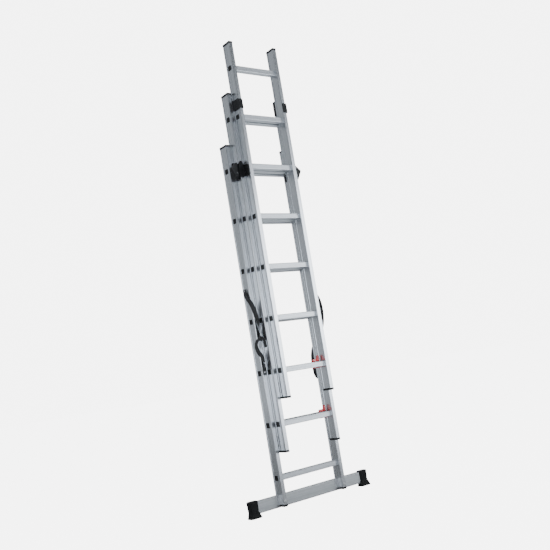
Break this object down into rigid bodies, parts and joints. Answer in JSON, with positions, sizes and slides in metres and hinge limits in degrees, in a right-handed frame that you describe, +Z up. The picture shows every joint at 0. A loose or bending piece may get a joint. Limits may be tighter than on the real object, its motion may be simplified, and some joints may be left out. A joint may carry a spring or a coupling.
{
  "type": "extension ladder",
  "caption": "Sectional sliding aluminium ladder with ridged square rungs, a stabilizer bar on rubber feet, guides, swing hinges, rung latches and webbing straps.",
  "frame": {"origin": "on the floor, centred between the two rubber feet and between the front of the fly section's guides and the back of the feet", "axes": "+Z up along the stiles, +X to the right along the rungs as seen by the climber, -Y is the side that is climbed and +Y faces the wall"},
  "size_m": [0.864, 0.1952, 2.556],
  "materials": {
    "stile_aluminium": "satin",
    "rung_aluminium": "satin",
    "bar_aluminium": "satin",
    "bright_steel": "brushed",
    "dark_steel": "satin",
    "bracket_black": "matte",
    "black_plastic": "matte",
    "pad_plastic": "matte",
    "red_plastic": "gloss",
    "black_rubber": "matte",
    "strap_webbing": "woven"
  },
  "bodies": {
    "base_section": {"base_end_caps": "black_plastic", "base_left_stile": "stile_aluminium", "base_right_stile": "stile_aluminium", "base_rung_1": "rung_aluminium", "base_rung_2": "rung_aluminium", "base_rung_3": "rung_aluminium", "base_rung_4": "rung_aluminium", "base_rung_5": "rung_aluminium", "base_rung_6": "rung_aluminium", "base_rung_7": "rung_aluminium", "base_rung_plugs": "black_plastic", "hinge_pins": "bright_steel", "stabilizer_bar": "bar_aluminium", "stabilizer_bolts": "bright_steel", "stabilizer_clamps": "bright_steel", "stabilizer_foot_left": "black_rubber", "stabilizer_foot_right": "black_rubber", "strap_left": "strap_webbing", "strap_plates": "dark_steel", "strap_right": "strap_webbing", "strap_screws": "bright_steel", "swing_bracket_left": "bracket_black", "swing_bracket_right": "bracket_black", "swing_bracket_screws": "dark_steel"},
    "swing_cradle": {"cradle_left": "bracket_black", "cradle_right": "bracket_black"},
    "middle_section": {"fly_guide_left": "bracket_black", "fly_guide_right": "bracket_black", "fly_guide_rivets": "bright_steel", "middle_end_caps": "black_plastic", "middle_glide_pads": "pad_plastic", "middle_latch_housing": "red_plastic", "middle_latch_pin": "bright_steel", "middle_left_stile": "stile_aluminium", "middle_right_stile": "stile_aluminium", "middle_rung_1": "rung_aluminium", "middle_rung_2": "rung_aluminium", "middle_rung_3": "rung_aluminium", "middle_rung_4": "rung_aluminium", "middle_rung_5": "rung_aluminium", "middle_rung_6": "rung_aluminium", "middle_rung_7": "rung_aluminium", "middle_rung_plugs": "black_plastic"},
    "fly_section": {"fly_end_caps": "black_plastic", "fly_glide_pads": "pad_plastic", "fly_latch_housing": "red_plastic", "fly_latch_pin": "bright_steel", "fly_left_stile": "stile_aluminium", "fly_right_stile": "stile_aluminium", "fly_rung_1": "rung_aluminium", "fly_rung_2": "rung_aluminium", "fly_rung_3": "rung_aluminium", "fly_rung_4": "rung_aluminium", "fly_rung_5": "rung_aluminium", "fly_rung_6": "rung_aluminium", "fly_rung_7": "rung_aluminium", "fly_rung_plugs": "black_plastic"},
    "middle_latch": {"middle_latch": "red_plastic"},
    "fly_latch": {"fly_latch": "red_plastic"}
  },
  "joints": [
    {"name": "middle_swing", "type": "hinge", "parent": "base_section", "child": "swing_cradle", "pos_m": [0, 0.05285, 1.884], "axis": [-1, 0, 0], "range_deg": [0, 36]},
    {"name": "middle_slide", "type": "slide", "parent": "swing_cradle", "child": "middle_section", "axis": [0, 0, 1], "range_m": [-0.28, 1.12]},
    {"name": "fly_slide", "type": "slide", "parent": "middle_section", "child": "fly_section", "axis": [0, 0, 1], "range_m": [-0.28, 1.12]},
    {"name": "middle_latch_flip", "type": "hinge", "parent": "middle_section", "child": "middle_latch", "pos_m": [0, 0.02235, 0.462], "axis": [-1, 0, 0], "range_deg": [0, 45], "stiffness_Nm_per_rad": 0.06, "springref_deg": -17.19},
    {"name": "fly_latch_flip", "type": "hinge", "parent": "fly_section", "child": "fly_latch", "pos_m": [0, -0.02815, 0.742], "axis": [-1, 0, 0], "range_deg": [0, 45], "stiffness_Nm_per_rad": 0.06, "springref_deg": -17.19}
  ]
}
